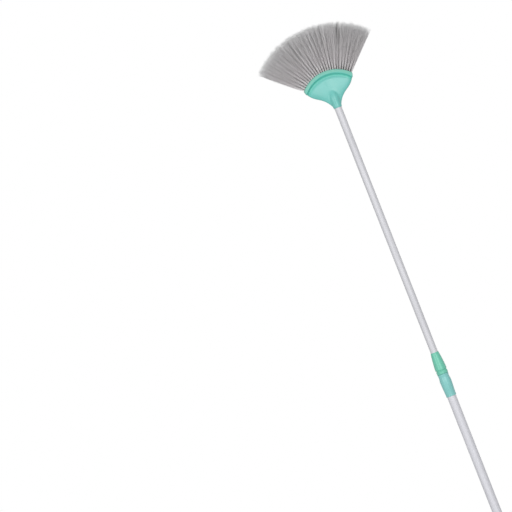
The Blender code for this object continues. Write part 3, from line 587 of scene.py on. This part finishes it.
def flank(share):
    """Half-width and height above the mouth of the web's S-shaped side edge."""
    start = Vector((NECK_HALF_WIDTH, NECK_START))
    lower = Vector((LOWER_PULL[0] * web_end.x, LOWER_PULL[1] * web_end.y))
    upper = Vector((UPPER_PULL[0] * web_end.x, UPPER_PULL[1] * web_end.y))
    back = 1.0 - share
    spot = start * back**3 + lower * (3 * back * back * share) + upper * (3 * back * share * share)
    return spot + web_end * share**3


def web_shape():
    """Closed skin pushed up ring by ring from the neck: a rounded box that grows squarer and fuller."""
    crown_start = math.asin(web_end.x / rim_middle)
    crown_centre = Vector((0.0, arc_centre - mouth))
    places = [flank(index / FLANK_STEPS) for index in range(FLANK_STEPS + 1)]
    for index in range(1, CROWN_STEPS + 1):
        angle = crown_start + (WEB_TOP_ANGLE - crown_start) * index / CROWN_STEPS
        places.append(rim_middle * Vector((math.sin(angle), math.cos(angle))) + crown_centre)
    bm = bmesh.new()
    bmesh.ops.create_cone(bm, cap_ends=True, segments=ROUND_STEPS, radius1=1.0, radius2=1.0, depth=1.0)
    top = max(bm.faces, key=lambda face: face.calc_center_median().z)
    phases = [math.atan2(loop.vert.co.y, loop.vert.co.x) for loop in top.loops]
    foot = min(bm.faces, key=lambda face: face.calc_center_median().z)
    rings = [{loop.vert: math.atan2(loop.vert.co.y, loop.vert.co.x) for loop in foot.loops}]
    for number in range(1, len(places)):
        if number > 1:
            top = bmesh.ops.extrude_discrete_faces(bm, faces=[top])["faces"][0]
        rings.append({loop.vert: phase for loop, phase in zip(top.loops, phases)})
    for ring, (half_width, height) in zip(rings, places):
        along = min(height / web_end.y, 1.0)
        blend = (1.0 - math.cos(math.pi * along)) / 2
        half_depth = NECK_HALF_THICKNESS + (WEB_HALF_THICKNESS - NECK_HALF_THICKNESS) * blend
        power = 2 / (NECK_SQUARENESS + (WEB_SQUARENESS - NECK_SQUARENESS) * blend)
        for vert, phase in ring.items():
            x = math.copysign(abs(math.cos(phase)) ** power, math.cos(phase))
            y = math.copysign(abs(math.sin(phase)) ** power, math.sin(phase))
            vert.co = (half_width * x, half_depth * y, mouth + height)
    bmesh.ops.triangulate(bm, faces=bm.faces)
    return bm


def arc_band(corners, half_angle, steps=72):
    """Bar spun along the fan's arc from its section's corners, each a depth and a radius."""
    bm = bmesh.new()
    section = bm.faces.new([bm.verts.new((0.0, depth, arc_centre + radius)) for depth, radius in corners])
    centre = Vector((0.0, 0.0, arc_centre))
    bmesh.ops.rotate(bm, verts=bm.verts, cent=centre, matrix=Matrix.Rotation(-half_angle, 3, "Y"))
    bmesh.ops.spin(
        bm,
        geom=[section] + section.verts[:] + section.edges[:],
        cent=centre,
        axis=(0.0, 1.0, 0.0),
        dvec=(0.0, 0.0, 0.0),
        angle=2 * half_angle,
        steps=steps,
        use_merge=False,
        use_duplicate=False,
    )
    bmesh.ops.recalc_face_normals(bm, faces=bm.faces)
    return bm


def multiplied(tree, colour, tint):
    """One colour times another."""
    first_colour, second_colour, result = 6, 7, 2
    mix = tree.nodes.new("ShaderNodeMix")
    mix.data_type = "RGBA"
    mix.blend_type = "MULTIPLY"
    mix.inputs["Factor"].default_value = 1.0
    tree.links.new(colour, mix.inputs[first_colour])
    tree.links.new(tint, mix.inputs[second_colour])
    return mix.outputs[result]


# The moulding's colour changes from the web through the groove to the rim: painted shade darkens the
# groove's floor, painted light brightens the groove at the rim's foot against the rim's shadow, and the rim
# is tinted greener.
TINT_START = 60.0 * MM
block_plastic = moulded_plastic("fan_block_mint", (0.17, 0.585, 0.525), (0.20, 0.625, 0.575), seam_axis="Y")
tree = block_plastic.node_tree
shader = tree.nodes["Principled BSDF"]
spot = tree.nodes.new("ShaderNodeTexCoord")
without_depth = tree.nodes.new("ShaderNodeVectorMath")
without_depth.operation = "MULTIPLY"
without_depth.inputs[1].default_value = (1.0, 0.0, 1.0)
reach = tree.nodes.new("ShaderNodeVectorMath")
reach.operation = "DISTANCE"
reach.inputs[1].default_value = (0.0, 0.0, arc_centre)
tree.links.new(spot.outputs["Object"], without_depth.inputs[0])
tree.links.new(without_depth.outputs["Vector"], reach.inputs[0])
groove_shade_and_rim_tint = shades(
    tree,
    between(tree, reach.outputs["Value"], low=0.0, high=1.0, start=TINT_START, end=BLOCK_RADIUS),
    (0.10, (1.0, 1.0, 1.0)),
    (0.28, (0.88, 0.97, 0.95)),
    (0.46, (0.57, 0.92, 0.82)),
    (0.56, (0.70, 1.0, 0.90)),
    (0.64, (0.78, 1.0, 0.93)),
    (0.80, (0.77, 0.88, 0.76)),
    (1.0, (0.88, 0.80, 0.72)),
)
plain_mint = shader.inputs["Base Color"].links[0].from_socket
tree.links.new(multiplied(tree, plain_mint, groove_shade_and_rim_tint), shader.inputs["Base Color"])
fan_block = piece_from("moulded_fan_block", web_shape(), block_plastic)

# Its groove, each corner as millimetres above the web's face and above the rim's foot.
GROOVE_CORNERS = ((0.1, -11.0), (-0.7, -6.5), (-1.5, -3.5), (-1.5, -2.5), (-0.5, -1.5), (2.5, 0.0))
GROOVE_HALF_ANGLE = math.radians(56.4)
block_cutters = []
for name, side in (("front_groove", -1), ("back_groove", 1)):
    corners = [(side * RIM_HALF_THICKNESS, rim_foot + GROOVE_CORNERS[0][1] * MM)]
    for lift, height in GROOVE_CORNERS:
        corners.append((side * (WEB_HALF_THICKNESS + lift * MM), rim_foot + height * MM))
    corners.append((side * RIM_HALF_THICKNESS, rim_foot + RIM_ROUND))
    groove = piece_from(name, arc_band(corners, GROOVE_HALF_ANGLE))
    block_cutters.append(groove)
    carve(fan_block, groove)

# Its rim, which is longer at the foot than at the top and tapers a little towards the foot.
corners = [
    (-RIM_HALF_THICKNESS, rim_foot),
    (RIM_HALF_THICKNESS, rim_foot),
    (RIM_HALF_THICKNESS, BLOCK_RADIUS),
    (-RIM_HALF_THICKNESS, BLOCK_RADIUS),
]
bm = arc_band(corners, RIM_FOOT_ANGLE)
eased_edges(bm, RIM_ROUND, least_angle=40.0, segments=5)
for vert in bm.verts:
    away = Vector((vert.co.x, vert.co.z - arc_centre))
    depth_share = min((BLOCK_RADIUS - away.length) / RIM_DEPTH, 1.0)
    half_angle = RIM_TOP_ANGLE + (RIM_FOOT_ANGLE - RIM_TOP_ANGLE) * depth_share
    angle = math.atan2(away.x, away.y) * half_angle / RIM_FOOT_ANGLE
    fullness = min((away.length - rim_foot) / RIM_TAPER_HEIGHT, 1.0)
    depth = vert.co.y * (1.0 - RIM_TAPER * (1.0 - fullness) ** 2)
    vert.co = (away.length * math.sin(angle), depth, arc_centre + away.length * math.cos(angle))
bmesh.ops.triangulate(bm, faces=bm.faces)
rim = piece_from("rim_shape", bm)

# Its socket and bores, each a radius and a height above the mouth.
SOCKET_LIP = ((9.9 * MM, 0.0), (10.4 * MM, 0.8 * MM), (10.7 * MM, 4.0 * MM))
SOCKET_SHOULDER = (12.2 * MM, 24.0 * MM)
SOCKET_END = (3.0 * MM, 62.0 * MM)
TUBE_BORE = (9.3 * MM, 16.6 * MM)
SCREW_BORE = (7.3 * MM, 42.9 * MM)
BORE_OVERRUN = 10.0 * MM
profile = [(0.0, mouth)] + [(radius, mouth + height) for radius, height in SOCKET_LIP]
profile += soft_curve(profile[-1], (SOCKET_SHOULDER[0], mouth + SOCKET_SHOULDER[1]), 16)
profile += soft_curve(profile[-1], (SOCKET_END[0], mouth + SOCKET_END[1]), 24)
profile += [(0.0, mouth + SOCKET_END[1])]
socket = piece_from("socket_shape", spun(profile))
for name, (radius, depth) in (("tube_bore", TUBE_BORE), ("screw_bore", SCREW_BORE)):
    length = depth + BORE_OVERRUN
    middle = Matrix.Translation((0.0, 0.0, mouth + depth - length / 2))
    bore = rod_shape(name, radius, length, middle)
    block_cutters.append(bore)
    carve(fan_block, bore)
    carve(socket, bore)

# Its blind holes: a front row with one for each stripe of the fan, and a back row between them.
FRONT_TUFTS = 25
END_TUFT_ANGLE = math.radians(44.89)
TUFT_PITCH = 2 * END_TUFT_ANGLE / (FRONT_TUFTS - 1)
ROW_OFFSET = 6.4 * MM
ROW_TILT = math.radians(3.6)
HOLE_RADIUS = 1.9 * MM
HOLE_DEPTH = 7.5 * MM
HOLE_OVERRUN = 4.0 * MM


def tuft_place(angle, side):
    """From a tuft's own axes, at the mouth of its hole, to the brush; side is -1 in front, 1 behind."""
    out = Matrix.Rotation(angle, 4, "Y") @ Matrix.Translation((0.0, side * ROW_OFFSET, BLOCK_RADIUS))
    return Matrix.Translation((0.0, 0.0, arc_centre)) @ out @ Matrix.Rotation(-side * ROW_TILT, 4, "X")


tufts = []
for row, side, count, start in (("front", -1, FRONT_TUFTS, 0.0), ("back", 1, FRONT_TUFTS - 1, 0.5)):
    for number in range(count):
        tufts.append((f"{row}_{number + 1:02d}", -END_TUFT_ANGLE + (number + start) * TUFT_PITCH, side))
bm = bmesh.new()
length = HOLE_DEPTH + HOLE_OVERRUN
middle = Matrix.Translation((0.0, 0.0, length / 2 - HOLE_DEPTH))
for name, angle, side in tufts:
    bmesh.ops.create_cone(
        bm,
        cap_ends=True,
        segments=20,
        radius1=HOLE_RADIUS,
        radius2=HOLE_RADIUS,
        depth=length,
        matrix=tuft_place(angle, side) @ middle,
    )
tuft_holes = piece_from("tuft_holes", bm)
block_cutters.append(tuft_holes)
carve(fan_block, tuft_holes)
carve(rim, tuft_holes)

# Web, rim and socket become one skin, and what the mould rounds off is smoothed: the socket
# where it fades into the web, and the fillet under the rim.
BLOCK_GRID = 0.6 * MM
SOCKET_FADE = (5.0 * MM, 66.0 * MM)
SOCKET_FADE_HALF_WIDTH = 18.0 * MM
SOCKET_FADE_RADIUS = 9.9 * MM
SOCKET_FADE_STRAIGHT = 20.0 * MM
SOCKET_FADE_TAPER = 0.12
SOCKET_FADE_DEPTH = 2.5 * MM
SOCKET_FADE_PASSES = 140
RIM_FILLET = (-5.0 * MM, 2.2 * MM)
RIM_FILLET_DEPTH = 4.0 * MM
RIM_FILLET_PASSES = 45


def rub_smooth(bm, verts, passes):
    """Evens out part of a skin, a little with each pass."""
    for _ in range(passes):
        bmesh.ops.smooth_vert(bm, verts=verts, factor=0.5, use_axis_x=True, use_axis_y=True, use_axis_z=True)


def beside_socket(spot):
    """True where the socket fades into the web; its inner edge draws in above the straight part."""
    height = spot.z - mouth
    inner_edge = SOCKET_FADE_RADIUS - SOCKET_FADE_TAPER * max(height - SOCKET_FADE_STRAIGHT, 0.0)
    return (
        SOCKET_FADE[0] < height < SOCKET_FADE[1]
        and abs(spot.x) < SOCKET_FADE_HALF_WIDTH
        and abs(spot.y) > SOCKET_FADE_DEPTH
        and math.hypot(spot.x, spot.y) > inner_edge
    )


def under_rim(spot):
    """True on both faces of the block along the rim's foot."""
    rise = math.hypot(spot.x, spot.z - arc_centre) - rim_foot
    return RIM_FILLET[0] < rise < RIM_FILLET[1] and abs(spot.y) > RIM_FILLET_DEPTH and spot.z > arc_centre


bm = bmesh.new()
graph = bpy.context.evaluated_depsgraph_get()
for part in (fan_block, rim, socket):
    bm.from_mesh(part.evaluated_get(graph).to_mesh())
fan_block.modifiers.clear()
bm.to_mesh(fan_block.data)
bm.free()
melt(fan_block, BLOCK_GRID, [rim, socket] + block_cutters)
bm = bmesh.new()
bm.from_mesh(fan_block.data)
rub_smooth(bm, [vert for vert in bm.verts if beside_socket(vert.co)], SOCKET_FADE_PASSES)
rub_smooth(bm, [vert for vert in bm.verts if under_rim(vert.co)], RIM_FILLET_PASSES)
bm.to_mesh(fan_block.data)
bm.free()
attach(fan_block, "head")
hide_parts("fan_block")

# Bristles: tufts of grey plastic filament, folded and stapled in the block's blind holes. Each
# filament leans out from its hole and ends in three split hairs, which are trimmed on an arc.
BUNDLES = 100
HAIRS = 3
STATIONS = np.array([-7.0, 0.0, 6.0, 22.0, 52.0, 84.0, 103.0, 113.0]) * MM
HAIR_RADII = np.array([0.13, 0.13, 0.13, 0.13, 0.125, 0.11, 0.07, 0.015]) * MM
TUFT_LENGTH = STATIONS[-1]
SHARES = np.clip(STATIONS / TUFT_LENGTH, 0.0, 1.0)

bristle = plain_finish("grey_bristle", (0.42, 0.415, 0.42), roughness=0.5)
tree = bristle.node_tree
shader = tree.nodes["Principled BSDF"]
strand = tree.nodes.new("ShaderNodeUVMap")
strand.uv_map = "Strand"
parts = tree.nodes.new("ShaderNodeSeparateXYZ")
tree.links.new(strand.outputs["UV"], parts.inputs["Vector"])
own_tone, share_along = parts.outputs["X"], parts.outputs["Y"]
# Painted light along each hair: painted shade at the very foot, painted lighter just above it against the
# shade between the tufts, and paler towards the split tips.
painted_light_along_hair = shades(
    tree,
    share_along,
    (0.0, (0.80, 0.77, 0.77)),
    (0.09, (0.93, 0.895, 0.905)),
    (0.28, (0.885, 0.85, 0.86)),
    (0.80, (0.90, 0.88, 0.885)),
    (1.0, (0.96, 0.96, 0.96)),
)
hair_tone = shades(
    tree,
    own_tone,
    (0.0, (0.30, 0.30, 0.30)),
    (0.3, (0.76, 0.76, 0.76)),
    (1.0, (1.0, 1.0, 1.0)),
)
tree.links.new(multiplied(tree, painted_light_along_hair, hair_tone), shader.inputs["Base Color"])
hair_roughness = between(tree, own_tone, low=0.42, high=0.58, start=0.0, end=1.0)
tree.links.new(hair_roughness, shader.inputs["Roughness"])
relief(tree, (grain(tree, scale=3000.0, detail=2.0), 0.1, LINE_DEPTH))

bm = bmesh.new()
bmesh.ops.create_cone(bm, cap_ends=True, segments=3, radius1=1.0, radius2=1.0, depth=1.0)
lengthwise = [edge for edge in bm.edges if abs(edge.verts[0].co.z - edge.verts[1].co.z) > 0.5]
bmesh.ops.subdivide_edges(bm, edges=lengthwise, cuts=len(STATIONS) - 2)
hair = bpy.data.meshes.new("one_hair")
bm.to_mesh(hair)
bm.free()
bm = bmesh.new()
for _ in range(BUNDLES * HAIRS):
    bm.from_mesh(hair)
hairs = bpy.data.meshes.new("tuft_hairs")
bm.to_mesh(hairs)
bm.free()
hairs.shade_smooth()
hairs.materials.append(bristle)
unit = np.array([vert.co for vert in hair.vertices])
station_of = np.rint((unit[:, 2] + 0.5) * (len(STATIONS) - 1)).astype(int)
loop_verts = np.zeros(len(hairs.loops), dtype=np.int32)
hairs.loops.foreach_get("vertex_index", loop_verts)

# How a tuft spreads: across the fan and in depth, where the two rows lean together, and with
# strays of single filaments and of whole tufts. All of them lean to one side of the fan.
ROOT_RADIUS = 1.35 * MM
TIP_HALF_SPREAD = np.array([7.2, 14.0]) * MM
LEAN_VARIETY = 0.06
LEAN_STRAY = 0.6 * MM
TUFT_STRAY = np.array([0.25, 0.8]) * MM
SIDE_SET = np.array([4.2, 5.3]) * MM
ROW_JOIN = 4.5 * MM
CLUMPS = 5
CLUMP_PULL = 0.1
BOW = 0.5 * MM
HAIR_OFFSET = 0.09 * MM
SPLIT_SPREAD = 0.9 * MM
SPLIT_START = 0.66
SPLIT_POWER = 1.5

# How it is trimmed: the left half is longer, and its first three tufts splay out at the foot.
TRIM_LOSS = 4.9 * MM
CLUMP_LENGTH_SPREAD = 1.2 * MM
LEFT_LENGTH = 4.0 * MM
END_SPLAY = 1.6 * MM
END_SPLAY_REACH = 5.0 * MM
SPLAYED_TUFTS = 3

# Streaks of the fan, each at an angle in degrees, with how far it pushes hairs apart and how much painted
# light (above 0) or painted shade (below 0) it puts on them.
STREAKS = (
    (-22.2, 1.6 * MM, 0.5),
    (7.8, 0.3 * MM, -0.5),
    (10.8, 0.0, 0.5),
    (19.4, 0.0, 0.5),
    (21.2, 0.0, -0.55),
)
PARTING_REACH = math.radians(0.9)
STREAK_REACH = math.radians(0.7)
STREAK_START = 0.4
STREAK_FULL = 0.9

# Tone of the hairs: painted light makes the fan's left end paler, the tone is mixed from hair to hair, and
# the foot gets a painted highlight, with painted shade where the rows face each other.
PAINTED_LIGHT_SIDE_TONES = (0.88, 0.55)
HAIR_TONE_SPREAD = 0.08
CLUMP_TONE_SPREAD = 0.03
TUFT_TONE_SPREAD = 0.02
FOOT_LIGHT = 0.2
FOOT_SHADE = 1.1
FOOT_SHADE_REACH = 13.0 * MM


def hair_paths(dice, angle, side):
    """Centre line of every hair in a tuft, at each station, in the tuft's own axes.

    With it come each filament's clump, its depth at the root and the painted light and shade of the streaks.
    """
    count = (BUNDLES, 1)
    spread = np.sqrt(dice.random(count))
    phase = dice.random(count) * 2 * math.pi
    around = np.stack([spread * np.cos(phase), spread * np.sin(phase)], -1)
    root = around * ROOT_RADIUS
    lean = around * TIP_HALF_SPREAD
    lean = lean * (1.0 + LEAN_VARIETY * dice.normal(size=(*count, 1)))
    lean = lean + dice.normal(size=(*count, 2)) * LEAN_STRAY
    clump = ((phase[:, 0] / (2 * math.pi) + dice.random()) * CLUMPS).astype(int) % CLUMPS
    for number in range(CLUMPS):
        own = clump == number
        lean[own] += CLUMP_PULL * (lean[own].mean(axis=0) - lean[own])
    whole = dice.normal(size=(1, 1, 2)) * TUFT_STRAY
    lean[..., 0] -= np.interp(angle, (-END_TUFT_ANGLE, END_TUFT_ANGLE), SIDE_SET)
    lean[..., 1] -= side * ROW_JOIN
    aim = angle + lean[..., 0] / (BLOCK_RADIUS + TUFT_LENGTH)
    streak = np.zeros(BUNDLES)
    for degrees, push, change in STREAKS:
        off = aim - math.radians(degrees)
        lean[..., 0] += np.sign(off) * push * np.exp(-((off / PARTING_REACH) ** 2))
        # Painted light and painted shade along each streak, set by its change.
        streak += change * np.exp(-((off[:, 0] / STREAK_REACH) ** 2))
    bow = dice.normal(size=(*count, 2)) * BOW
    split = dice.normal(size=(BUNDLES, HAIRS, 2)) * SPLIT_SPREAD
    offset = dice.normal(size=(BUNDLES, HAIRS, 2)) * HAIR_OFFSET
    length = TUFT_LENGTH - dice.exponential(TRIM_LOSS, size=(BUNDLES, HAIRS))
    length += LEFT_LENGTH * max(-angle / END_TUFT_ANGLE, 0.0)
    length += dice.normal(0.0, CLUMP_LENGTH_SPREAD, CLUMPS)[clump][:, None]
    opening = np.clip((SHARES - SPLIT_START) / (1.0 - SPLIT_START), 0.0, 1.0) ** SPLIT_POWER
    flat = (root + offset)[:, :, None, :] + (lean + whole)[:, :, None, :] * SHARES[:, None]
    flat = flat + bow[:, :, None, :] * np.sin(math.pi * SHARES)[:, None]
    flat = flat + split[:, :, None, :] * opening[:, None]
    outer = np.clip(1.0 - (angle + END_TUFT_ANGLE) / (SPLAYED_TUFTS * TUFT_PITCH), 0.0, 1.0)
    leaving = 1.0 - np.exp(-np.clip(STATIONS, 0.0, None) / END_SPLAY_REACH)
    flat[..., 0] -= outer * END_SPLAY * leaving * (1.0 - SHARES)
    height = np.where(STATIONS > 0, STATIONS * (length / TUFT_LENGTH)[:, :, None], STATIONS)
    paths = np.concatenate([flat, height[..., None]], -1).reshape(-1, len(STATIONS), 3)
    return paths, clump, root[:, 0, 1], streak


def hair_tones(dice, angle, side, clump, root_depth, streak):
    """Tone of every filament in a tuft at each station, from 0 dark to 1 light, with a painted highlight at
    the foot and painted shade where the rows face each other.
    """
    facing = np.clip(-2.0 * side * root_depth / ROOT_RADIUS, 0.0, 1.0)
    # Painted light: the fan's left end is made paler than its right.
    painted_side_tone = np.interp(angle, (-END_TUFT_ANGLE, END_TUFT_ANGLE), PAINTED_LIGHT_SIDE_TONES)
    tones = dice.normal(painted_side_tone, HAIR_TONE_SPREAD, BUNDLES)
    tones = tones + dice.normal(0.0, CLUMP_TONE_SPREAD, CLUMPS)[clump]
    tones = tones + dice.normal(0.0, TUFT_TONE_SPREAD)
    streaked = np.clip((SHARES - STREAK_START) / (STREAK_FULL - STREAK_START), 0.0, 1.0)
    at_foot = np.exp(-SHARES * TUFT_LENGTH / FOOT_SHADE_REACH)
    tones = tones[:, None] + streak[:, None] * streaked
    # Painted highlight at the foot, and painted shade on the hairs that face the other row.
    tones = tones + (FOOT_LIGHT - FOOT_SHADE * facing[:, None]) * at_foot
    return np.clip(tones, 0.0, 1.0)


for number, (name, angle, side) in enumerate(tufts):
    dice = np.random.default_rng(7100 + number)
    paths, clump, root_depth, streak = hair_paths(dice, angle, side)
    turns = dice.random(len(paths)) * 2 * math.pi
    cos, sin = np.cos(turns)[:, None], np.sin(turns)[:, None]
    around = np.stack([cos * unit[:, 0] - sin * unit[:, 1], sin * unit[:, 0] + cos * unit[:, 1]], -1)
    points = paths[:, station_of, :]
    points[..., :2] += around * HAIR_RADII[station_of][:, None]
    mesh = hairs.copy()
    mesh.name = "bristles_" + name
    mesh.vertices.foreach_set("co", points.reshape(-1).astype(np.float32))
    mesh.transform(tuft_place(angle, side))
    tones = hair_tones(dice, angle, side, clump, root_depth, streak)
    tones = np.repeat(tones, HAIRS, axis=0)[:, station_of].reshape(-1)
    marks = np.stack([tones, np.tile(SHARES[station_of], len(paths))], -1)
    own_marks = mesh.uv_layers.new(name="Strand")
    own_marks.uv.foreach_set("vector", marks[loop_verts].reshape(-1).astype(np.float32))
    mesh.update()
    tuft = bpy.data.objects.new("bristles_" + name, mesh)
    bpy.context.scene.collection.objects.link(tuft)
    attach(tuft, "head")
    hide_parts("tuft_" + name)

bpy.data.meshes.remove(hairs)
bpy.data.meshes.remove(hair)
